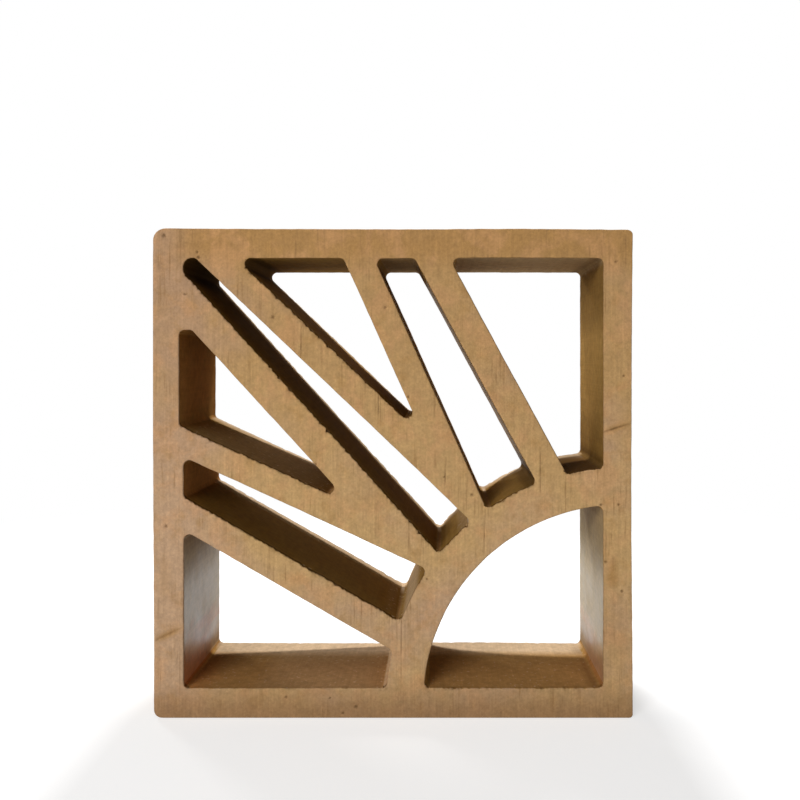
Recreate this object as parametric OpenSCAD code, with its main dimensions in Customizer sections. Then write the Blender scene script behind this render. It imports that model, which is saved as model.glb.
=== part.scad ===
// Clay breeze block: a square frame pierced by a quarter sun and three hollow rays
// It stands on its base as it is laid in a screen wall, with X along the course and Z up
// Every opening runs straight through, from the front face at -Y to the back face at +Y

/* [Block] */
// Width of the face, along the course
face_w = 290; // [260:1:330]
// Height of the face
face_h = 296; // [260:1:330]
// Depth of the block, through the screen
depth = 90; // [50:1:150]
// Thickness of the frame above, below and to the right of the pattern
wall = 18; // [12:0.5:22]
// Thickness of the frame's left side, where the rays end
left_wall = 18.5; // [12:0.5:22]
// Rounding of the frame's top left arris, where the clay slumped most
top_left_r = 7.5; // [1:0.5:10]
// Rounding of the frame's top right arris
top_right_r = 3.5; // [1:0.5:10]
// Rounding of the frame's base left arris
base_left_r = 5; // [1:0.5:10]
// Rounding of the frame's base right arris
base_right_r = 2; // [1:0.5:10]
// Rounding of the corners inside the openings
corner_r = 3.5; // [1:0.5:4]
// Rounding of the frame's inside corner, where the middle ray ends
nose_r = 5.5; // [1:0.5:8]
// Extra depth to which the gap between the low and middle rays cuts into the frame
gap_bite = 2.5; // [0:0.5:4]

/* [Sun] */
// Radius of the sun opening
sun_r = 119.5; // [95:0.5:125]
// Distance of the sun's centre from the right side
sun_side = 7; // [4:0.5:16]
// Distance of the sun's centre from the base
sun_rise = 9.5; // [4:0.5:16]
// Thickness of the rim round the sun
rim_t = 22.5; // [14:0.5:28]

/* [Rays] */
// Distance of the rays' centre from the right side
rays_side = 13; // [8:0.5:18]
// Distance of the rays' centre from the base
rays_rise = 12.5; // [8:0.5:18]

/* [Low ray] */
// Slope of the low ray above the horizontal, in degrees
low_angle = 27.3; // [25:0.1:29]
// Width of the low ray where it leaves the rim
low_root_w = 35; // [26:0.5:38]
// Width of the low ray at the frame
low_tip_w = 21.5; // [14:0.5:26]
// Thickness of the rib under the low ray
low_under_t = 17.5; // [12:0.5:22]
// Thickness of the rib over the low ray
low_over_t = 16; // [12:0.5:22]

/* [Middle ray] */
// Slope of the middle ray above the horizontal, in degrees
mid_angle = 45.7; // [44:0.1:47]
// Width of the middle ray where it leaves the rim
mid_root_w = 27; // [20:0.5:30]
// Width of the middle ray at the corner of the frame
mid_tip_w = 11; // [10:0.5:16]
// Thickness of the rib under the middle ray
mid_under_t = 19.5; // [12:0.5:22]
// Thickness of the rib over the middle ray
mid_over_t = 17; // [12:0.5:22]

/* [High ray] */
// Slope of the high ray above the horizontal, in degrees
high_angle = 63.7; // [62:0.1:66]
// Width of the high ray where it leaves the rim
high_root_w = 33.5; // [26:0.5:38]
// Width of the high ray at the frame
high_tip_w = 22; // [14:0.5:26]
// Thickness of the rib under the high ray
high_under_t = 17; // [12:0.5:22]
// Thickness of the rib over the high ray
high_over_t = 18.5; // [12:0.5:22]

/* [Hidden] */
clay = "#b39268";
// Steps round a full circle, on the sun and on the small roundings
arc_steps = 180;
corner_steps = 32;
right = face_w / 2;
rim_r = sun_r + rim_t;
sun_centre = [right - sun_side, sun_rise];
rays_centre = [right - rays_side, rays_rise];
// How far the rays run on into the frame, so that they cross the whole of its inside
frame_bite = 2 * wall;

// Distance along a ray from its centre to the inside of the frame
function ray_reach(angle) = min(
    (face_w - rays_side - left_wall) / cos(angle),
    (face_h - rays_rise - wall) / sin(angle)
);

// Outside of the frame, with its own rounding at each corner
module face_outline() {
    hull() {
        translate([top_left_r - right, face_h - top_left_r]) circle(top_left_r, $fn = corner_steps);
        translate([right - top_right_r, face_h - top_right_r]) circle(top_right_r, $fn = corner_steps);
        translate([base_left_r - right, base_left_r]) circle(base_left_r, $fn = corner_steps);
        translate([right - base_right_r, base_right_r]) circle(base_right_r, $fn = corner_steps);
    }
}

// Space inside the frame
module field() {
    hull() {
        polygon([[left_wall - right, wall], [right - wall, wall], [right - wall, face_h - wall]]);
        translate([left_wall + nose_r - right, face_h - wall - nose_r]) circle(nose_r, $fn = corner_steps);
    }
}

// One ray, tapering away from the rim, with the thickness of its ribs added where they are given
module ray(angle, root_w, tip_w, under_t = 0, over_t = 0) {
    reach = ray_reach(angle);
    lean = atan((root_w - tip_w) / 2 / (reach - rim_r));
    near = root_w / 2 + rim_r * tan(lean);
    end = reach + frame_bite;
    far = root_w / 2 - (end - rim_r) * tan(lean);
    under = under_t / cos(lean);
    over = over_t / cos(lean);
    translate(rays_centre) mirror([1, 0]) rotate(angle)
        polygon([[0, -near - under], [end, -far - under], [end, far + over], [0, near + over]]);
}

// Strip that the gap between the low and middle rays takes from the frame
// It starts inside the low ray and stops short of the sharp corner under the middle ray
module bite() {
    run = face_w - rays_side - left_wall;
    low_z = rays_rise + run * tan(low_angle);
    corner_z = rays_rise + run * tan(mid_angle) - (mid_tip_w / 2 + mid_under_t) / cos(mid_angle);
    translate([left_wall - gap_bite - right, low_z])
        square([gap_bite + corner_r, corner_z - 2 * corner_r - low_z]);
}

// Spaces left between the rays
module gaps() {
    difference() {
        union() {
            field();
            bite();
        }
        ray(low_angle, low_root_w, low_tip_w, low_under_t, low_over_t);
        ray(mid_angle, mid_root_w, mid_tip_w, mid_under_t, mid_over_t);
        ray(high_angle, high_root_w, high_tip_w, high_under_t, high_over_t);
    }
}

// Spaces inside the rays
module hollows() {
    intersection() {
        field();
        union() {
            ray(low_angle, low_root_w, low_tip_w);
            ray(mid_angle, mid_root_w, mid_tip_w);
            ray(high_angle, high_root_w, high_tip_w);
        }
    }
}

// Everything open outside the rim
module ray_openings() {
    difference() {
        union() {
            gaps();
            hollows();
        }
        translate(sun_centre) circle(rim_r, $fn = arc_steps);
    }
}

// Quarter sun in the base right corner
module sun_opening() {
    intersection() {
        field();
        translate(sun_centre) circle(sun_r, $fn = arc_steps);
    }
}

// Softens every inside corner of the shapes it is given
module soften() {
    offset(r = corner_r, $fn = corner_steps) offset(delta = -corner_r) children();
}

module breeze_block() {
    color(clay) rotate([90, 0, 0]) linear_extrude(depth, center = true) difference() {
        face_outline();
        soften() ray_openings();
        soften() sun_opening();
    }
}

breeze_block();
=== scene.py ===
import math
import bpy
import bmesh
from mathutils import Matrix, Vector, bvhtree, kdtree, noise


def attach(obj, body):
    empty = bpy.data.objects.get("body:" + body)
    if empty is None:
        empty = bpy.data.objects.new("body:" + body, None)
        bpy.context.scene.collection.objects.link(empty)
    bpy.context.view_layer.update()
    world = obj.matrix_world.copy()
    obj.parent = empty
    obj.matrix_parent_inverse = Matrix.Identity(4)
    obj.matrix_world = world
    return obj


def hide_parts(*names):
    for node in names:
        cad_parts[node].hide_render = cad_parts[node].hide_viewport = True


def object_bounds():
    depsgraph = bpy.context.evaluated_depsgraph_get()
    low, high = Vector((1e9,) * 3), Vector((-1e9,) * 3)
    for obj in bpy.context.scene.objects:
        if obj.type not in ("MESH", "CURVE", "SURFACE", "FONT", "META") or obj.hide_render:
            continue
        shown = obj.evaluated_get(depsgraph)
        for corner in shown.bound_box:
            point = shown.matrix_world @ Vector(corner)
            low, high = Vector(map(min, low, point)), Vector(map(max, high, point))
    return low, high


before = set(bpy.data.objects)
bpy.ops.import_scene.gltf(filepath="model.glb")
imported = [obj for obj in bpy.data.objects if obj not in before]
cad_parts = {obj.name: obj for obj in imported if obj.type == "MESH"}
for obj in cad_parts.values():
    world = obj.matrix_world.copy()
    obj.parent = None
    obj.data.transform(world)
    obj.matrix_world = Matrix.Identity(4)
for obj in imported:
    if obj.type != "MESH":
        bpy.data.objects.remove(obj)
cadLow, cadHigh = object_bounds()
mm = 0.001


# Small helpers

def toLinear(hexColour):
    # an sRGB hex colour as the linear values that the shaders take
    parts = [int(hexColour[i:i + 2], 16) / 255 for i in (1, 3, 5)]
    return [c / 12.92 if c <= 0.04045 else ((c + 0.055) / 1.055) ** 2.4 for c in parts] + [1.0]


def ramp(value, start, end):
    # 0 up to the start, 1 from the end on, and straight between them
    return min(max((value - start) / (end - start), 0), 1)


def deselectAll():
    if bpy.context.object and bpy.context.object.mode != "OBJECT":
        bpy.ops.object.mode_set(mode="OBJECT")
    bpy.ops.object.select_all(action="DESELECT")


def editOnly(obj):
    deselectAll()
    obj.select_set(True)
    bpy.context.view_layer.objects.active = obj
    bpy.ops.object.mode_set(mode="EDIT")
    bpy.ops.mesh.select_all(action="DESELECT")


def pick(obj, kind, test):
    # selects the edges or faces of the edited mesh that pass a test
    bpy.ops.mesh.select_mode(type=kind)
    bpy.ops.mesh.select_all(action="DESELECT")
    mesh = bmesh.from_edit_mesh(obj.data)
    for item in {"EDGE": mesh.edges, "FACE": mesh.faces}[kind]:
        if test(item):
            item.select = True
    mesh.select_flush_mode()
    bmesh.update_edit_mesh(obj.data)


def addNode(tree, kind, settings=None, **links):
    # one shader node, its settings, then its inputs by name, or i and a number: a value, or another node's output
    made = tree.nodes.new(kind)
    for key, value in (settings or {}).items():
        setattr(made, key, value)
    for name, value in links.items():
        numbered = name[0] == "i" and name[1:].isdigit()
        socket = made.inputs[int(name[1:]) if numbered else name.replace("_", " ")]
        if isinstance(value, bpy.types.NodeSocket):
            tree.links.new(value, socket)
        else:
            socket.default_value = value
    return made


def newMaterial(name):
    made = bpy.data.materials.new(name)
    made.use_nodes = True
    made.node_tree.nodes.clear()
    return made, made.node_tree


# The block's body

block = {
    "arris": 0.7 * mm,        # softened edge that the cutting wire leaves
    "rimTurn": 1.0,           # edges on the two faces that turn more than this, in radians, are rims
    "grid": 2.5 * mm,         # spacing of the cuts that let the surface bend
    "rows": [1.6, 4, 9, 18, 31, 45],     # depths of the cuts through the walls, in mm from either face
    "finerNear": [2.8 * mm, 1.6 * mm],   # the mesh is cut finer once within each of these of a lower rim
    "markCuts": 2,            # how often it is cut finer at the marks
    "nodeWeld": 0.005 * mm,   # points of the extrusion closer than this are one
    "flatTurn": 0.4,          # its edges that turn less than this, in degrees, are dissolved
    "weld": 0.02 * mm,        # points of the cuts closer than this are one
    "sliver": 0.002 * mm,     # thinner slivers than this are closed at the end
    "crisp": 40,              # edges that turn more than this, in degrees, stay crisp
    "inner": 0.97,            # share of the half width and half height within which the openings lie
    "lower": 0.5,             # walls that face up more than this end in a lower rim
    "level": 0.97,            # and those that face up more than this are the two level ledges
    "warp": 0.25 * mm,        # slow bend of the walls from drying
    "warpLength": 85 * mm,
    "warpSeed": 91,           # noise_vector draws from the clock if it isn't seeded
    "leftLean": 0.5 * mm,     # the left side leans in towards its foot
    "topSag": 0.7 * mm,       # the top sinks towards the right
    "rightHollow": 0.9 * mm,  # the right side is hollow at mid height
    "sideReach": 16 * mm,     # how far in those three fade out
    "rimZone": 3.2 * mm,      # how deep from either face the wire's drag shows
    "rimReach": 2.4 * mm,     # and how far round a rim
    "dragDepth": 0.48 * mm,   # bites that the wire tore from the lower rims
    "dragLength": 3.2 * mm,
    "tornLength": 24 * mm,    # some lengths of rim are torn more than others
    "levelCalm": 0.7,         # share of the bites on the two level ledges
    "ragged": 0.24 * mm,      # fine tear along the whole of the sloping lower rims at the front
    "raggedBack": 0.3,        # share of that tear, and of the grime and painted shade in the bites, at the back
    "raggedLength": 2.1 * mm,
    "wobble": 0.16 * mm,      # unevenness of the other rims
    "wobbleLength": 6 * mm,
    "rimDark": 0.6,           # painted shade along the front's lower rims, half as much on its other rims
    "rimDarkReach": 0.9 * mm,
}

# Marks in the front face, in mm: across and up from the middle of the base
pits = [   # place, radius, depth
    (-117.5, 278.5, 1.0, 0.7), (-118.2, 281.6, 0.7, 0.5), (-138.3, 291.5, 1.1, 0.6), (-72.5, 242.3, 0.9, 0.8),
    (-125.7, 256.1, 0.7, 0.5), (-4.5, 248.2, 0.8, 0.6), (9.3, 194.0, 0.8, 0.6), (47.7, 134.9, 0.9, 0.7),
    (31.0, 145.7, 0.7, 0.5), (134.5, 275.8, 0.8, 0.5), (139.4, 206.8, 0.8, 0.6), (128.5, 94.5, 0.9, 0.7),
    (138.4, 76.8, 0.8, 0.5), (-30.1, 3.0, 0.8, 0.6), (-22.2, 6.8, 1.0, 0.7), (-64.6, 12.7, 0.8, 0.5),
    (-137.0, 116.0, 1.0, 0.4), (125.8, 128.8, 0.8, 0.6), (136.2, 129.1, 0.7, 0.5), (-46.5, 153.5, 0.7, 0.5),
    (-38.0, 12.2, 0.6, 0.4), (-100.5, 20.0, 0.6, 0.4), (70.0, 24.0, 0.6, 0.4), (20.5, 84.0, 0.6, 0.4),
]
scratches = [   # from, to, width, depth
    ((55.8, 126.0), (54.9, 99.5), 0.55, 0.5), ((32.0, 157.5), (31.4, 141.0), 0.5, 0.4),
    ((89.2, 163.5), (88.8, 134.0), 0.5, 0.35), ((5.4, 62.0), (4.8, 37.5), 0.5, 0.4),
    ((-8.5, 206.0), (-9.0, 178.0), 0.45, 0.3), ((-55.2, 236.5), (-55.8, 214.0), 0.45, 0.3),
    ((-116.8, 276.0), (-117.4, 262.0), 0.5, 0.35), ((14.0, 128.0), (13.6, 116.0), 0.45, 0.35),
    ((-90.0, 93.0), (-90.4, 80.0), 0.45, 0.25), ((104.5, 146.0), (104.2, 133.5), 0.45, 0.25),
]
creases = [   # from, to, width, depth: where the soft clay was bent
    ((-144.5, 46.6), (-127.5, 54.6), 1.0, 0.5), ((127.5, 173.0), (144.5, 178.4), 0.9, 0.4),
]
faceStains = [   # place, half width, half height, strength: where the kiln's flame touched the face
    (132.5, 87.5, 5.0, 12.0, 1.0), (129.0, 130.5, 3.5, 3.0, 0.7), (-8.0, 132.0, 16.0, 9.0, 0.35),
    (60.0, 287.0, 40.0, 5.0, 0.3), (-138.0, 84.0, 5.0, 16.0, 0.25), (134.0, 45.0, 12.0, 40.0, 0.3),
]
wallBounceShade = [   # painted shade on the walls of the openings, the deep red their feet, corners and shaded sides take from light bounced between the clay: place, half width, half height, strength
    (-126.0, 18.0, 24.0, 36.0, 0.95), (-1.0, 18.0, 12.0, 10.0, 0.35), (127.0, 20.0, 10.0, 26.0, 0.6),
    (-127.0, 205.0, 8.0, 44.0, 0.4), (-127.0, 140.0, 8.0, 18.0, 0.45),
]
paintedShadePatches = [   # painted shade on the walls, in darker patches: place, half width, half height, strength
    (104.0, 148.0, 34.0, 16.0, 0.95), (-122.0, 274.0, 13.0, 13.0, 0.9), (-91.0, 276.0, 12.0, 10.0, 0.7),
    (-127.0, 120.0, 12.0, 12.0, 0.45), (127.0, 18.0, 9.0, 22.0, 0.4),
    (127.0, 264.0, 9.0, 34.0, 0.36), (127.0, 170.0, 8.0, 12.0, 0.15), (127.0, 100.0, 8.0, 18.0, 0.22),
]
paintedLightPatches = [   # painted light on the walls, paler patches for lit places and sheen: place, half width, half height, strength, and whether level ledges take it too
    (4.0, 74.0, 14.0, 14.0, 0.55, False), (-4.0, 28.0, 9.0, 20.0, 0.75, False),
    (78.0, 278.0, 62.0, 8.0, 0.5, False), (5.0, 278.0, 16.0, 6.0, 0.25, False),
    (-78.0, 158.0, 60.0, 30.0, 0.2, False), (40.0, 124.0, 13.0, 13.0, 0.35, False),
    (-42.0, 18.0, 50.0, 6.0, 0.36, True), (127.0, 34.0, 8.0, 16.0, 0.3, False),
]


def isRim(edge):
    onFaces = all(abs(v.co.y) > cadHigh.y - 0.01 * mm for v in edge.verts)
    return onFaces and len(edge.link_faces) == 2 and edge.calc_face_angle(0) > block["rimTurn"]


def cutAcross(point, normal):
    bpy.ops.mesh.select_all(action="SELECT")
    bpy.ops.mesh.bisect(plane_co=point, plane_no=normal, use_fill=False)


def makeBody():
    # a copy of the extrusion, its cut edges eased, then sliced finely enough to bend
    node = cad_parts["breeze_block"]
    body = bpy.data.objects.new("clayBlock", node.data.copy())
    bpy.context.scene.collection.objects.link(body)
    body.data.materials.clear()
    editOnly(body)
    bpy.ops.mesh.select_all(action="SELECT")
    bpy.ops.mesh.remove_doubles(threshold=block["nodeWeld"])
    bpy.ops.mesh.dissolve_limited(angle_limit=math.radians(block["flatTurn"]))
    pick(body, "EDGE", isRim)
    bpy.ops.mesh.bevel(offset=block["arris"], segments=2, profile=0.5, affect="EDGES")
    for axis, low, high in ((Vector((1, 0, 0)), cadLow.x, cadHigh.x), (Vector((0, 0, 1)), cadLow.z, cadHigh.z)):
        steps = int((high - low) / block["grid"])
        for i in range(1, steps):
            cutAcross(axis * (low + (high - low) * i / steps), axis)
    for depth in block["rows"]:
        for side in (-1, 1):
            if depth * mm < cadHigh.y or side > 0:   # the middle is cut once
                cutAcross((0, side * (cadHigh.y - depth * mm), 0), (0, 1, 0))
    bpy.ops.mesh.select_all(action="SELECT")
    bpy.ops.mesh.remove_doubles(threshold=block["weld"])
    bpy.ops.mesh.quads_convert_to_tris()
    bpy.ops.object.mode_set(mode="OBJECT")
    print("body cut:", len(body.data.polygons), "triangles")
    return body


def rimPoints(body):
    # points on the walls just behind each eased rim, with the way their wall faces
    deep = cadHigh.y - block["arris"] * 1.2
    found = [v for v in body.data.vertices if deep - 1.2 * mm < abs(v.co.y) < deep]
    tree = kdtree.KDTree(len(found))
    for i, v in enumerate(found):
        tree.insert((v.co.x, 0, v.co.z), i)
    tree.balance()
    return tree, [Vector((v.normal.x, 0, v.normal.z)).normalized() for v in found]


def inOpening(place):
    across = abs(place.x) / cadHigh.x
    up = abs(place.z - cadHigh.z / 2) / (cadHigh.z / 2)
    return max(across, up) < block["inner"]


def alongLine(place, start, end):
    # distance in mm from a line on the face, and how far along it the nearest point is
    spot = Vector((place.x, place.z)) / mm
    run = Vector(end) - Vector(start)
    share = ramp((spot - Vector(start)).dot(run) / run.length_squared, 0, 1)
    return (spot - Vector(start) - run * share).length, share


def cutFiner(body, test):
    pick(body, "FACE", test)
    bpy.ops.mesh.subdivide(number_cuts=1)
    bpy.ops.mesh.select_all(action="SELECT")
    bpy.ops.mesh.quads_convert_to_tris()


def refineBody(body):
    # finer mesh where the lower rims, pits and scratches need it
    tree, facing = rimPoints(body)

    def onLowerRim(face, near):
        place = face.calc_center_median()
        if place.y > cadLow.y + near or not inOpening(place):
            return False
        point, i, away = tree.find((place.x, 0, place.z))
        return away < near and facing[i].z > block["lower"]

    def onMark(face):
        place = face.calc_center_median()
        if face.normal.y > -0.9:
            return False
        if any(math.hypot(place.x / mm - x, place.z / mm - z) < radius + 1.3 for x, z, radius, depth in pits):
            return True
        return any(alongLine(place, start, end)[0] < width + 0.9 for start, end, width, depth in scratches + creases)

    editOnly(body)
    for near in block["finerNear"]:
        cutFiner(body, lambda face: onLowerRim(face, near))
    for again in range(block["markCuts"]):
        cutFiner(body, onMark)
    bpy.ops.object.mode_set(mode="OBJECT")
    print("lower rims and marks cut finer:", len(body.data.polygons), "triangles")


def dryingBend(place):
    # a slow warp all over, and the bends of the left side, the right side and the top
    warp = noise.noise_vector(Vector((place.x, place.y * 0.6, place.z)) / block["warpLength"])
    move = Vector((warp.x, 0, warp.z)) * block["warp"] * 2
    toLeft = max(0, 1 - (place.x - cadLow.x) / block["sideReach"])
    toRight = max(0, 1 - (cadHigh.x - place.x) / block["sideReach"])
    toTop = max(0, 1 - (cadHigh.z - place.z) / block["sideReach"])
    up = place.z / cadHigh.z
    rightward = (place.x - cadLow.x) / (cadHigh.x - cadLow.x)
    lean = toLeft * block["leftLean"] * max(0, 1 - 2 * up)
    hollow = toRight * block["rightHollow"] * math.sin(math.pi * up)
    move.x += lean - hollow
    move.z -= toTop * block["topSag"] * (0.25 + 0.75 * rightward)
    return move


def rimWear(place, away, facing):
    # how far the wire pulled a rim back, and the grime and painted shade along it
    front = place.y < 0
    share = 1 if front else block["raggedBack"]
    hold = 1 - away / block["rimReach"]
    spot = Vector((place.x, 40 * mm if front else -40 * mm, place.z))   # so that the two faces differ
    inside = inOpening(place)
    lower = inside and facing.z > block["lower"]
    level = facing.z > block["level"]
    sloping = lower and not level
    drag = 0
    if lower:
        torn = 0.7 + 0.9 * noise.noise(spot / block["tornLength"])
        coarse = spot / block["dragLength"]
        bite = noise.noise(coarse) + 0.8 * noise.noise(coarse * 2.3)
        drag = max(0, bite + 0.05) * max(0, torn) * (block["levelCalm"] if level else 1)
    fine = spot / block["raggedLength"]
    tear = noise.noise(fine) + 0.4 * noise.noise(fine * 2.1)
    ripple = noise.noise(spot / block["wobbleLength"]) * block["wobble"]
    if sloping:
        ripple += tear * block["ragged"] * 2 * share
    grimeAndShade = min(1, drag * 0.9) * hold * share
    darkReach = block["rimDarkReach"] * (1 + tear if sloping else 1)
    # painted shade: a dark line along the front rims inside the openings, strongest on the lower rims
    if inside and front and away < darkReach:
        shadeAmount = 0.15 if level else ramp(facing.z, -0.4, 0.6)
        grimeAndShade = max(grimeAndShade, block["rimDark"] * shadeAmount * (1 - away / darkReach))
    return facing * hold * (drag * block["dragDepth"] * 1.5 + ripple), grimeAndShade


def pressMarks(mesh, grimeAndShade):
    # pits, scratches and creases in the front face, with grime and painted shade in them
    for n, v in enumerate(mesh.vertices):
        if v.co.y > cadLow.y + 0.3 * mm:
            continue
        for x, z, radius, depth in pits:
            away = math.hypot(v.co.x / mm - x, v.co.z / mm - z) / (radius * 0.85)
            if away < 1.6:
                uneven = 1 + 0.5 * noise.noise(v.co / (0.8 * mm))
                press = max(0, 1 - away / 1.5 * uneven) ** 0.7
                v.co.y += depth * mm * press
                grimeAndShade[n] = max(grimeAndShade[n], min(1, press * 0.85))
        for start, end, width, depth in scratches + creases:
            away, share = alongLine(v.co, start, end)
            if away < width:
                fade = math.sin(math.pi * min(max(share, 0.04), 0.96)) ** 0.4
                uneven = 0.75 + 0.5 * noise.noise(v.co / (4 * mm))
                press = (1 - away / width) * fade * uneven
                v.co.y += depth * mm * press
                grimeAndShade[n] = max(grimeAndShade[n], press * (0.9 if depth < 0.3 or width < 1 else 0.45))


def keepValues(mesh, name, values):
    # one strength for each point, which the materials read by its name
    held = mesh.attributes.new(name, "FLOAT", "POINT")
    held.data.foreach_set("value", values)


def wearBody(body):
    # the bend from drying and the wire's drag round the rims, then the marks
    mesh = body.data
    tree, facing = rimPoints(body)
    grimeAndShade = [0.0] * len(mesh.vertices)
    moves = []
    noise.seed_set(block["warpSeed"])
    for n, v in enumerate(mesh.vertices):
        move = dryingBend(v.co)
        if abs(v.co.y) > cadHigh.y - block["rimZone"]:
            point, i, away = tree.find((v.co.x, 0, v.co.z))
            if away < block["rimReach"]:
                pull, grimeAndShade[n] = rimWear(v.co, away, facing[i])
                move -= pull
        moves.append(move)
    for v, move in zip(mesh.vertices, moves):
        if v.co.z < cadLow.z + 0.5 * mm:   # the base stays flat
            move.z = 0
        v.co = v.co + move
        v.co = [min(max(v.co[k], cadLow[k]), cadHigh[k]) for k in range(3)]
    pressMarks(mesh, grimeAndShade)
    keepValues(mesh, "grimeAndShade", grimeAndShade)
    mesh.update()
    print("warp, wire drag and marks done")


# painted light and shade: how openings are measured, and how much the walls, ledges and creases are darkened,
# reddened or lit
paintedLightAndShade = {
    "turns": (-50, -25, 0, 25, 50),   # openings are measured along these, in degrees off the wall's facing
    "farthest": 120,          # the most that is measured, in mm
    "narrow": 12,             # openings this narrow, in mm, get the most painted shade
    "wide": 82,               # and openings this wide the least
    "ledgeRed": 0.2,          # painted shade: redness of the two level ledges
    "ledgeMidShade": 0.3,        # painted shade on them, half way in
    "ledgeBloom": 0.12,       # the least painted light on them
    "footHeight": 40 * mm,    # below this the walls are less red towards the back
    "creaseReach": 2.6,       # how far beside a crease the face is redder, as painted shade, in mm
}


def measureOpenings(body):
    # how wide the opening in front of each wall is, from 0 for narrow to 1 for wide
    mesh = body.data
    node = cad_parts["breeze_block"].data
    walls = bvhtree.BVHTree.FromPolygons([v.co for v in node.vertices], [p.vertices for p in node.polygons])
    known = {}
    widths = []
    for v in mesh.vertices:
        out = Vector((v.normal.x, 0, v.normal.z))
        if out.length < 0.5:
            widths.append(1.0)
            continue
        out.normalize()
        key = (round(v.co.x / mm), round(v.co.z / mm), round(out.x * 4), round(out.z * 4))
        if key not in known:
            total = 0
            for turn in paintedLightAndShade["turns"]:
                way = Matrix.Rotation(math.radians(turn), 3, "Y") @ out
                hit = walls.ray_cast(Vector((v.co.x, 0, v.co.z)) + out * 2 * mm, way)
                total += min(hit[3] / mm, paintedLightAndShade["farthest"]) if hit[0] else paintedLightAndShade["farthest"]
            known[key] = ramp(total / len(paintedLightAndShade["turns"]), paintedLightAndShade["narrow"], paintedLightAndShade["wide"])
        widths.append(known[key])
    keepValues(mesh, "openness", widths)
    print("openings measured from", len(known), "places")


def fromMiddle(v, x, z, wide, high):
    # 0 in the middle of an oval mark and 1 at its edge
    return math.hypot((v.co.x / mm - x) / wide, (v.co.z / mm - z) / high)


def stainAndShadeAt(v, onFace, inside):
    # stains where the kiln's flame reddened the face, and painted shade: redder walls, ledges and creases; less
    # towards the back
    total = 0
    atBack = ramp(v.co.y / mm, 5, 25)
    for x, z, wide, high, strength in (faceStains if onFace else wallBounceShade):
        away = fromMiddle(v, x, z, wide, high) + 0.35 * noise.noise(v.co / (7 * mm))
        if away < 1:
            total = max(total, strength * (1 - away * away))
    if not onFace and v.normal.z > 0.8:
        ledge = paintedLightAndShade["ledgeRed"] if inside and v.normal.z > block["level"] else 0
        total = max(total * 0.45, ledge) * (1 - atBack)
    elif not onFace and v.co.z < paintedLightAndShade["footHeight"]:
        total *= 1 - 0.8 * atBack
    if onFace and v.co.y < 0:
        for start, end, width, depth in creases:
            away, share = alongLine(v.co, start, end)
            if away < paintedLightAndShade["creaseReach"]:
                fade = math.sin(math.pi * min(max(share, 0.05), 0.95)) ** 0.5
                total = max(total, 0.85 * (1 - away / paintedLightAndShade["creaseReach"]) ** 0.5 * fade)
    return total


def paleAndPaintedLightAt(v, onFace, inside):
    # painted light: the lit strip at the back of the ledges, and paler patches for lit places and sheen on the walls
    if not onFace and not inside:
        return 0.4 + 0.3 * noise.noise(v.co / (26 * mm))   # the outer sides are as pale as the face
    depth = v.co.y / mm
    level = ramp(v.normal.z, 0.92, 0.97)
    sloped = ramp(v.normal.z, 0.5, 0.7) * ramp(depth, 31, 39)
    pale = max(level * max(ramp(depth, 18, 24), paintedLightAndShade["ledgeBloom"]), sloped)
    takesLightPatches = v.normal.x < -0.4 or v.normal.z < -0.9 or 0.85 < v.normal.z < 0.95
    for x, z, wide, high, strength, onLevel in paintedLightPatches:
        away = fromMiddle(v, x, z, wide, high)
        if away < 1 and (takesLightPatches or onLevel and v.normal.z > 0):
            pale = max(pale, strength * (1 - away ** 4))
    return pale


def paintedShadeAt(v, onFace, inside):
    # painted shade half way in on the level ledges, and in darker patches on the walls
    if onFace:
        return 0
    depth = v.co.y / mm
    level = ramp(v.normal.z, 0.92, 0.97) if inside else 0
    shadeAmount = paintedLightAndShade["ledgeMidShade"] * level * ramp(depth, -26, 2) * (1 - ramp(depth, 17, 22))
    thin = max(1 - ramp(depth, 30, 38), 0.3) if v.normal.z > 0.5 else 1
    for x, z, wide, high, strength in paintedShadePatches:
        away = fromMiddle(v, x, z, wide, high)
        if away < 1:
            shadeAmount = max(shadeAmount, strength * (1 - away ** 4) * thin)
    return shadeAmount


def markStainsAndPaintedLight(body):
    # stains, painted shade and painted light, and the pale outer sides, as strengths from 0 to 1
    mesh = body.data
    stainsAndShade, paleAndPaintedLights = [], []
    grimeAndShade = mesh.attributes["grimeAndShade"].data
    for n, v in enumerate(mesh.vertices):
        onFace = abs(v.normal.y) > 0.5
        inside = inOpening(v.co)
        stainsAndShade.append(stainAndShadeAt(v, onFace, inside))
        paleAndPaintedLights.append(paleAndPaintedLightAt(v, onFace, inside))
        grimeAndShade[n].value = max(grimeAndShade[n].value, paintedShadeAt(v, onFace, inside))
    keepValues(mesh, "stain", stainsAndShade)
    keepValues(mesh, "paleAndPaintedLight", paleAndPaintedLights)
    print("stains and bloom marked")


def finishBody(body):
    # slivers closed, then smooth with the cut edges kept crisp
    editOnly(body)
    bpy.ops.mesh.select_all(action="SELECT")
    bpy.ops.mesh.remove_doubles(threshold=0.0001 * mm)
    bpy.ops.mesh.dissolve_degenerate(threshold=block["sliver"])
    bpy.ops.object.mode_set(mode="OBJECT")
    bpy.ops.object.shade_smooth_by_angle(angle=math.radians(block["crisp"]))
    even = body.modifiers.new("evenNormals", "WEIGHTED_NORMAL")
    even.keep_sharp = True
    bpy.ops.object.modifier_apply(modifier=even.name)


# Fired clay

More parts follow.
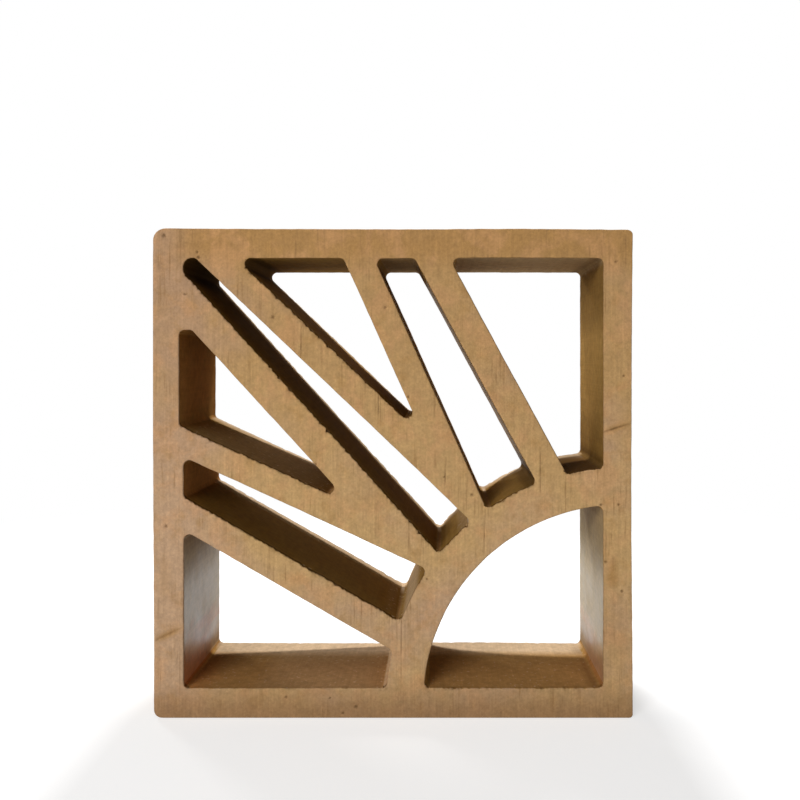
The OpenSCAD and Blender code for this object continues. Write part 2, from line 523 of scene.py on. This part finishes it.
clayLook = {
    "tan": "#b79463",         # the wire-cut face
    "upper": "#ece6df",       # tint that makes its upper half browner
    "pink": "#b39272",        # where it is paler, at the left and the lower right
    "rosy": "#bf8f62",        # small patches that fired redder
    "flash": "#a27a47",       # darker brown along the top and in stains, and painted shade beside the creases
    "shade": "#906d49",       # painted shade along the foot
    "hairline": "#8a6840",
    "grimeAndShade": "#493010",
    "bounceShade": "#c0743a",       # painted shade: the deep red of the walls' feet, corners and shaded sides
    "paleAndPaintedLight": "#c6ab8a",       # painted light: the lit strip at the back of the ledges and paler lit patches, also the pale outer sides
    "narrowWallShade": "#805817",  # painted shade: walls of the narrow openings, darker as less light reaches in
    "wallWide": "#b08a4e",    # walls of the wide ones, and the outer sides
    "burnished": "#b19b6e",   # where the die rubbed them smooth
}


def wireCutClay():
    # fired clay cut green with a wire: matt, dry, with upright hairlines, small pits, a faint brown blush, and
    # painted shade along the foot, in the marks and on the rims
    made, tree = newMaterial("wireCutFiredClay")
    where = addNode(tree, "ShaderNodeTexCoord").outputs["Object"]
    place = addNode(tree, "ShaderNodeSeparateXYZ", None, Vector=where)
    # turned off the axes, so that the noise doesn't line up with the flat faces as a weave would
    turned = addNode(tree, "ShaderNodeMapping", None, Vector=where, Rotation=(0.6, 0.4, 0.9)).outputs[0]
    smooth = {"interpolation_type": "SMOOTHSTEP"}
    blend = {"data_type": "RGBA"}

    # the slow changes of colour: 60 mm patches, then the top and the foot
    patches = addNode(tree, "ShaderNodeTexNoise", None, Vector=turned,
                      Scale=1 / (60 * mm), Detail=3.0, Roughness=0.55)
    leftSide = addNode(tree, "ShaderNodeMapRange", smooth, Value=place.outputs["X"],
                       From_Min=-60 * mm, From_Max=-135 * mm, To_Max=0.3)
    lowSide = addNode(tree, "ShaderNodeMapRange", smooth, Value=place.outputs["Z"],
                      From_Min=110 * mm, From_Max=40 * mm, To_Max=0.12)
    patchMix = addNode(tree, "ShaderNodeMath", {"operation": "ADD"},
                       i0=patches.outputs["Fac"], i1=leftSide.outputs[0])
    patchMix = addNode(tree, "ShaderNodeMath", {"operation": "ADD"}, i0=patchMix.outputs[0], i1=lowSide.outputs[0])
    pinkness = addNode(tree, "ShaderNodeMapRange", smooth, Value=patchMix.outputs[0], From_Min=0.5, From_Max=0.85)
    higher = addNode(tree, "ShaderNodeMapRange", smooth, Value=place.outputs["Z"],
                     From_Min=90 * mm, From_Max=260 * mm, To_Max=0.95)
    colour = addNode(tree, "ShaderNodeMix", blend,
                     i0=pinkness.outputs[0], i6=toLinear(clayLook["tan"]), i7=toLinear(clayLook["pink"]))
    colour = addNode(tree, "ShaderNodeMix", {"data_type": "RGBA", "blend_type": "MULTIPLY"},
                     i0=higher.outputs[0], i6=colour.outputs[2], i7=toLinear(clayLook["upper"]))
    clouds = addNode(tree, "ShaderNodeTexNoise", None, Vector=turned,
                     Scale=1 / (11 * mm), Detail=5.0, Roughness=0.6)
    nearTop = addNode(tree, "ShaderNodeMapRange", smooth, Value=place.outputs["Z"],
                      From_Min=262 * mm, From_Max=286 * mm, To_Max=0.9)
    stain = addNode(tree, "ShaderNodeMapRange", smooth, Value=clouds.outputs["Fac"],
                    From_Min=0.5, From_Max=0.72, To_Max=0.42)
    leftFree = addNode(tree, "ShaderNodeMapRange", smooth, Value=place.outputs["X"],
                       From_Min=-142 * mm, From_Max=-118 * mm, To_Min=0.1)
    topBlush = addNode(tree, "ShaderNodeMath", {"operation": "MULTIPLY"},
                       i0=nearTop.outputs[0], i1=leftFree.outputs[0])
    blush = addNode(tree, "ShaderNodeMath", {"operation": "MAXIMUM"}, i0=topBlush.outputs[0], i1=stain.outputs[0])
    # the stain attribute holds the face's stains and painted shade beside the creases
    marked = addNode(tree, "ShaderNodeAttribute", {"attribute_name": "stain"})
    flash = addNode(tree, "ShaderNodeMath", {"operation": "MAXIMUM"}, i0=blush.outputs[0], i1=marked.outputs["Fac"])
    colour = addNode(tree, "ShaderNodeMix", blend,
                     i0=flash.outputs[0], i6=colour.outputs[2], i7=toLinear(clayLook["flash"]))
    redder = addNode(tree, "ShaderNodeTexNoise", None, Vector=turned,
                     Scale=1 / (18 * mm), Detail=4.0, Roughness=0.6, Distortion=0.4)
    rosy = addNode(tree, "ShaderNodeMapRange", smooth, Value=redder.outputs["Fac"],
                   From_Min=0.46, From_Max=0.66, To_Max=0.42)
    colour = addNode(tree, "ShaderNodeMix", blend,
                     i0=rosy.outputs[0], i6=colour.outputs[2], i7=toLinear(clayLook["rosy"]))
    # painted shade: the face darkens towards the foot
    nearFoot = addNode(tree, "ShaderNodeMapRange", smooth, Value=place.outputs["Z"],
                       From_Min=24 * mm, From_Max=2 * mm, To_Max=0.8)
    colour = addNode(tree, "ShaderNodeMix", blend,
                     i0=nearFoot.outputs[0], i6=colour.outputs[2], i7=toLinear(clayLook["shade"]))

    # hairlines from the wire: about 1.2 mm apart and 30 mm long, in clusters
    # (real ones are finer than the render can show)
    along = addNode(tree, "ShaderNodeMapping", None, Vector=where,
                    Scale=(1 / (1.2 * mm), 1 / (1.2 * mm), 1 / (30 * mm)))
    lines = addNode(tree, "ShaderNodeTexNoise", None, Vector=along.outputs[0], Scale=1.0, Detail=2.0, Roughness=0.6)
    groups = addNode(tree, "ShaderNodeTexNoise", None, Vector=where, Scale=1 / (17 * mm), Detail=2.0, Roughness=0.5)
    grouped = addNode(tree, "ShaderNodeMapRange", smooth, Value=groups.outputs["Fac"],
                      From_Min=0.42, From_Max=0.66, To_Min=0.08, To_Max=0.6)
    lineMask = addNode(tree, "ShaderNodeMapRange", smooth, Value=lines.outputs["Fac"], From_Min=0.54, From_Max=0.72)
    hairs = addNode(tree, "ShaderNodeMath", {"operation": "MULTIPLY"},
                    i0=lineMask.outputs[0], i1=grouped.outputs[0])
    colour = addNode(tree, "ShaderNodeMix", blend,
                     i0=hairs.outputs[0], i6=colour.outputs[2], i7=toLinear(clayLook["hairline"]))

    # pale streaks beside the hairlines, mottling of 4 mm, grains of 1.5 mm, then the grime and painted shade in the
    # marks and along the rims
    streaks = addNode(tree, "ShaderNodeMapRange", None, Value=lines.outputs["Fac"],
                      From_Min=0.5, From_Max=0.28, To_Min=1.0, To_Max=1.1)
    mottle = addNode(tree, "ShaderNodeTexNoise", None, Vector=turned,
                     Scale=1 / (4.4 * mm), Detail=2.0, Roughness=0.6)
    mottled = addNode(tree, "ShaderNodeMapRange", None, Value=mottle.outputs["Fac"],
                      From_Min=0.28, From_Max=0.72, To_Min=0.9, To_Max=1.1)
    grains = addNode(tree, "ShaderNodeTexNoise", None, Vector=turned,
                     Scale=1 / (1.5 * mm), Detail=3.0, Roughness=0.65)
    grainTone = addNode(tree, "ShaderNodeMapRange", None, Value=grains.outputs["Fac"],
                        From_Min=0.25, From_Max=0.75, To_Min=0.86, To_Max=1.14)
    tone = addNode(tree, "ShaderNodeMath", {"operation": "MULTIPLY"}, i0=streaks.outputs[0], i1=mottled.outputs[0])
    tone = addNode(tree, "ShaderNodeMath", {"operation": "MULTIPLY"}, i0=tone.outputs[0], i1=grainTone.outputs[0])
    colour = addNode(tree, "ShaderNodeVectorMath", {"operation": "SCALE"},
                     i0=colour.outputs[2], Scale=tone.outputs[0])
    grimeAndShade = addNode(tree, "ShaderNodeAttribute", {"attribute_name": "grimeAndShade"})
    colour = addNode(tree, "ShaderNodeMix", blend,
                     i0=grimeAndShade.outputs["Fac"], i6=colour.outputs[0], i7=toLinear(clayLook["grimeAndShade"]))

    height = addNode(tree, "ShaderNodeMath", {"operation": "MULTIPLY_ADD"},
                     i0=hairs.outputs[0], i1=-0.7, i2=grains.outputs["Fac"])
    bump = addNode(tree, "ShaderNodeBump", None, Height=height.outputs[0], Strength=0.45, Distance=0.25 * mm)
    dryness = addNode(tree, "ShaderNodeMapRange", None, Value=clouds.outputs["Fac"],
                      From_Min=0.3, From_Max=0.7, To_Min=0.74, To_Max=0.92)
    shader = addNode(tree, "ShaderNodeBsdfPrincipled", None, Base_Color=colour.outputs[2], Normal=bump.outputs[0],
                     Roughness=dryness.outputs[0], IOR=1.5, Specular_IOR_Level=0.25)
    addNode(tree, "ShaderNodeOutputMaterial", None, Surface=shader.outputs[0])
    return made


def dieSkinClay(name, wide, shine, gloss):
    # fired clay pressed past the die: a closed skin with drawn lines from front to back,
    # with painted shade, darker brown in narrow openings and redder in corners, and painted light at the back of the
    # ledges
    made, tree = newMaterial(name)
    where = addNode(tree, "ShaderNodeTexCoord").outputs["Object"]
    turned = addNode(tree, "ShaderNodeMapping", None, Vector=where, Rotation=(0.6, 0.4, 0.9)).outputs[0]
    smooth = {"interpolation_type": "SMOOTHSTEP"}
    blend = {"data_type": "RGBA"}
    # painted shade: the narrower the opening, the darker brown its walls
    openness = addNode(tree, "ShaderNodeAttribute", {"attribute_name": "openness"})
    clouds = addNode(tree, "ShaderNodeTexNoise", None, Vector=turned,
                     Scale=1 / (14 * mm), Detail=5.0, Roughness=0.6)
    shadeAmount = addNode(tree, "ShaderNodeMath", {"operation": "MULTIPLY_ADD"},
                    i0=clouds.outputs["Fac"], i1=0.35, i2=-0.175)
    clear = addNode(tree, "ShaderNodeMath", {"operation": "ADD", "use_clamp": True},
                    i0=openness.outputs["Fac"], i1=shadeAmount.outputs[0])
    colour = addNode(tree, "ShaderNodeMix", blend,
                     i0=clear.outputs[0], i6=toLinear(clayLook["narrowWallShade"]), i7=toLinear(clayLook[wide]))
    # painted light: paler at the back of the ledges and in lit patches; the outer sides are pale clay
    paleAndPaintedLight = addNode(tree, "ShaderNodeAttribute", {"attribute_name": "paleAndPaintedLight"})
    colour = addNode(tree, "ShaderNodeMix", blend,
                     i0=paleAndPaintedLight.outputs["Fac"], i6=colour.outputs[2], i7=toLinear(clayLook["paleAndPaintedLight"]))
    # pale chips, only where that pale colour lies
    chips = addNode(tree, "ShaderNodeTexNoise", None, Vector=turned, Scale=1 / (2.2 * mm), Detail=1.0)
    chipMask = addNode(tree, "ShaderNodeMapRange", smooth, Value=chips.outputs["Fac"],
                       From_Min=0.66, From_Max=0.75, To_Max=0.65)
    paleAndLitMask = addNode(tree, "ShaderNodeMapRange", None, Value=paleAndPaintedLight.outputs["Fac"], From_Max=0.05)
    chipped = addNode(tree, "ShaderNodeMath", {"operation": "MULTIPLY"},
                      i0=chipMask.outputs[0], i1=paleAndLitMask.outputs[0])
    colour = addNode(tree, "ShaderNodeMix", blend,
                     i0=chipped.outputs[0], i6=colour.outputs[2], i7=toLinear(clayLook["paleAndPaintedLight"]))
    # painted shade: the stain attribute makes the walls' feet, corners and shaded sides a deep red
    bounceShade = addNode(tree, "ShaderNodeAttribute", {"attribute_name": "stain"})
    colour = addNode(tree, "ShaderNodeMix", blend,
                     i0=bounceShade.outputs["Fac"], i6=colour.outputs[2], i7=toLinear(clayLook["bounceShade"]))

    # drawn lines from front to back, 1.2 mm apart and 70 mm long (real ones are finer than the render can show)
    along = addNode(tree, "ShaderNodeMapping", None, Vector=where,
                    Scale=(1 / (1.2 * mm), 1 / (70 * mm), 1 / (1.2 * mm)))
    lines = addNode(tree, "ShaderNodeTexNoise", None, Vector=along.outputs[0], Scale=1.0, Detail=3.0, Roughness=0.6)
    tone = addNode(tree, "ShaderNodeMapRange", None, Value=lines.outputs["Fac"],
                   From_Min=0.3, From_Max=0.7, To_Min=0.93, To_Max=1.06)
    colour = addNode(tree, "ShaderNodeVectorMath", {"operation": "SCALE"},
                     i0=colour.outputs[2], Scale=tone.outputs[0])
    mottle = addNode(tree, "ShaderNodeTexNoise", None, Vector=turned,
                     Scale=1 / (4.4 * mm), Detail=3.0, Roughness=0.65)
    mottled = addNode(tree, "ShaderNodeMapRange", None, Value=mottle.outputs["Fac"],
                      From_Min=0.28, From_Max=0.72, To_Min=0.84, To_Max=1.16)
    colour = addNode(tree, "ShaderNodeVectorMath", {"operation": "SCALE"},
                     i0=colour.outputs[0], Scale=mottled.outputs[0])
    # grime and painted shade in the bites and along the rims, and painted shade in darker patches and half way in on
    # the ledges
    grimeAndShade = addNode(tree, "ShaderNodeAttribute", {"attribute_name": "grimeAndShade"})
    colour = addNode(tree, "ShaderNodeMix", blend,
                     i0=grimeAndShade.outputs["Fac"], i6=colour.outputs[0], i7=toLinear(clayLook["grimeAndShade"]))

    grains = addNode(tree, "ShaderNodeTexNoise", None, Vector=turned,
                     Scale=1 / (1.1 * mm), Detail=3.0, Roughness=0.7)
    height = addNode(tree, "ShaderNodeMath", {"operation": "MULTIPLY_ADD"},
                     i0=grains.outputs["Fac"], i1=0.35, i2=lines.outputs["Fac"])
    bump = addNode(tree, "ShaderNodeBump", None, Height=height.outputs[0], Strength=0.3, Distance=0.2 * mm)
    # on the frame the shine stops about a third of the way up, and short of the corners at the foot
    rubbed = addNode(tree, "ShaderNodeMapRange", None, Value=clouds.outputs["Fac"],
                     From_Min=0.3, From_Max=0.7, To_Min=shine[0], To_Max=shine[1])
    place = addNode(tree, "ShaderNodeSeparateXYZ", None, Vector=where)
    dull = addNode(tree, "ShaderNodeMapRange", smooth, Value=place.outputs["Z"],
                   From_Min=68 * mm, From_Max=112 * mm, To_Max=0.38)
    dullFoot = addNode(tree, "ShaderNodeMapRange", smooth, Value=place.outputs["Z"],
                       From_Min=34 * mm, From_Max=20 * mm, To_Max=0.4)
    sideways = addNode(tree, "ShaderNodeMath", {"operation": "ABSOLUTE"}, i0=place.outputs["X"])
    onFrame = addNode(tree, "ShaderNodeMapRange", None, Value=sideways.outputs[0],
                      From_Min=102 * mm, From_Max=114 * mm)
    dulled = addNode(tree, "ShaderNodeMath", {"operation": "MULTIPLY_ADD"},
                     i0=dull.outputs[0], i1=onFrame.outputs[0], i2=dullFoot.outputs[0])
    rough = addNode(tree, "ShaderNodeMath", {"operation": "ADD", "use_clamp": True},
                    i0=rubbed.outputs[0], i1=dulled.outputs[0])
    shader = addNode(tree, "ShaderNodeBsdfPrincipled", None, Base_Color=colour.outputs[2], Normal=bump.outputs[0],
                     Roughness=rough.outputs[0], IOR=1.5, Specular_IOR_Level=gloss)
    addNode(tree, "ShaderNodeOutputMaterial", None, Surface=shader.outputs[0])
    return made


dieFinishes = {   # colour in wide openings, roughness from and to, mirror share
    "dieSkinFiredClay": ("wallWide", (0.85, 1.0), 0.05),
    "burnishedDieSkinFiredClay": ("burnished", (0.32, 0.44), 0.4),
    "rubbedDieSkinFiredClay": ("wallWide", (0.55, 0.7), 0.16),
}
rubbedParts = {   # where the die rubbed the clay smooth
    "leftTop": 112 * mm,    # the frame's left side, up to this height
    "rightTop": 134 * mm,   # its right side, up to this height
    "rayFoot": 140 * mm,    # the right wall of the high ray, from this height on
}


def paintBody(body):
    # which finish each face has: cut by the wire, drawn past the die, burnished there, or only rubbed
    mesh = body.data
    mesh.materials.append(wireCutClay())
    for name, (wide, shine, gloss) in dieFinishes.items():
        mesh.materials.append(dieSkinClay(name, wide, shine, gloss))
    counts = [0] * len(mesh.materials)
    for face in mesh.polygons:
        place, facing = face.center, face.normal
        lowLeft = facing.x > 0.9 and place.x < -110 * mm and place.z < rubbedParts["leftTop"]
        lowRight = facing.x < -0.96 and place.x > -20 * mm and place.z < rubbedParts["rightTop"]
        steep = -0.95 < facing.x < -0.82 and facing.z < 0
        highRay = steep and place.x > 20 * mm and place.z > rubbedParts["rayFoot"]
        if abs(facing.y) > 0.35:
            face.material_index = 0
        elif inOpening(place) and (lowLeft or lowRight):
            face.material_index = 2
        elif inOpening(place) and highRay:
            face.material_index = 3
        else:
            face.material_index = 1
        counts[face.material_index] += 1
    print("clay finishes set:", counts)


body = makeBody()
refineBody(body)
wearBody(body)
measureOpenings(body)
markStainsAndPaintedLight(body)
paintBody(body)
finishBody(body)
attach(body, "root")
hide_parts("breeze_block")


# Floor, backdrop, lamps and camera

studio = {
    "floorSize": 12.0,
    "floorColour": "#c8c8c8",
    "floorGlow": 0.6,             # what the floor adds for the camera, so that it shows white where it is lit
    "shadowReach": 0.5,           # beyond this distance from the block the floor is plain white
    "shadowFade": 0.35,
    "fill": 0.13,
    "cameraAcross": 28 * mm,      # camera's place along the block, from its middle
    "cameraHeight": 214.7 * mm,
    "cameraDistance": 548.3 * mm,   # from the front face
    "lens": 40.85,
    "sensor": 36,
    "shiftX": -0.0491,
    "shiftY": -0.0466,
    "lamps": [   # name, place, aim, size, watts
        ("frontSoftbox", (-0.95, -2.1, 0.8), (0, 0, 0.14), (1.2, 0.7), 42),
        ("topBackSpot", (0.0, 0.44, 1.5), (0, 0, 0.15), (0.2, 0.07), 18),
        ("backLeftSoftbox", (-1.2, 1.3, 0.86), (0, 0, 0.15), (0.3, 0.3), 7.5),
    ],
}


def seesBackground(tree, path):
    # 1 for the rays that show the white background: camera, mirror and glass rays
    mirror = addNode(tree, "ShaderNodeMath", {"operation": "MAXIMUM"},
                     i0=path.outputs["Is Camera Ray"], i1=path.outputs["Is Glossy Ray"])
    glass = addNode(tree, "ShaderNodeMath", {"operation": "MAXIMUM"},
                    i0=mirror.outputs[0], i1=path.outputs["Is Transmission Ray"])
    return glass.outputs[0]


def makeFloor():
    deselectAll()
    bpy.ops.mesh.primitive_plane_add(size=studio["floorSize"], location=(0, 0, 0))
    floor = bpy.context.object
    floor.name = "floor"
    made, tree = newMaterial("whitePaperFloor")
    path = addNode(tree, "ShaderNodeLightPath")
    diffuse = addNode(tree, "ShaderNodeBsdfDiffuse", None, Color=toLinear(studio["floorColour"]))
    glow = addNode(tree, "ShaderNodeEmission", None, Color=(1, 1, 1, 1), Strength=studio["floorGlow"])
    near = addNode(tree, "ShaderNodeAddShader", None, i0=diffuse.outputs[0], i1=glow.outputs[0])
    white = addNode(tree, "ShaderNodeEmission", None, Color=(1, 1, 1, 1), Strength=1.0)
    coords = addNode(tree, "ShaderNodeTexCoord")
    reach = addNode(tree, "ShaderNodeVectorMath", {"operation": "LENGTH"}, i0=coords.outputs["Object"])
    away = addNode(tree, "ShaderNodeMapRange", {"interpolation_type": "SMOOTHSTEP"}, Value=reach.outputs["Value"],
                   From_Min=studio["shadowReach"], From_Max=studio["shadowReach"] + studio["shadowFade"])
    shown = addNode(tree, "ShaderNodeMixShader", None, Fac=away.outputs[0], i1=near.outputs[0], i2=white.outputs[0])
    mixed = addNode(tree, "ShaderNodeMixShader", None, Fac=seesBackground(tree, path),
                    i1=diffuse.outputs[0], i2=shown.outputs[0])
    addNode(tree, "ShaderNodeOutputMaterial", None, Surface=mixed.outputs[0])
    floor.data.materials.append(made)


def makeWorld():
    world = bpy.data.worlds.new("studio")
    bpy.context.scene.world = world
    world.use_nodes = True
    tree = world.node_tree
    tree.nodes.clear()
    path = addNode(tree, "ShaderNodeLightPath")
    fill = addNode(tree, "ShaderNodeBackground", None, Color=(1, 1, 1, 1), Strength=studio["fill"])
    white = addNode(tree, "ShaderNodeBackground", None, Color=(1, 1, 1, 1), Strength=1.0)
    mixed = addNode(tree, "ShaderNodeMixShader", None, Fac=seesBackground(tree, path),
                    i1=fill.outputs[0], i2=white.outputs[0])
    addNode(tree, "ShaderNodeOutputWorld", None, Surface=mixed.outputs[0])


def addLamp(name, place, aim, size, power):
    data = bpy.data.lights.new(name, "AREA")
    data.shape = "RECTANGLE"
    data.size, data.size_y = size
    data.energy = power
    lamp = bpy.data.objects.new(name, data)
    lamp.location = place
    lamp.rotation_euler = (Vector(aim) - Vector(place)).to_track_quat("-Z", "Y").to_euler()
    bpy.context.scene.collection.objects.link(lamp)


def makeCamera():
    data = bpy.data.cameras.new("camera")
    data.lens = studio["lens"]
    data.sensor_width = studio["sensor"]
    data.shift_x, data.shift_y = studio["shiftX"], studio["shiftY"]
    camera = bpy.data.objects.new("camera", data)
    middle = (cadLow.x + cadHigh.x) / 2
    camera.location = (middle + studio["cameraAcross"], cadLow.y - studio["cameraDistance"], studio["cameraHeight"])
    camera.rotation_euler = (math.radians(90), 0, 0)
    bpy.context.scene.collection.objects.link(camera)
    bpy.context.scene.camera = camera


makeFloor()
makeWorld()
for lamp in studio["lamps"]:
    addLamp(*lamp)
makeCamera()
bpy.context.scene.view_settings.view_transform = "Standard"
print("studio ready")
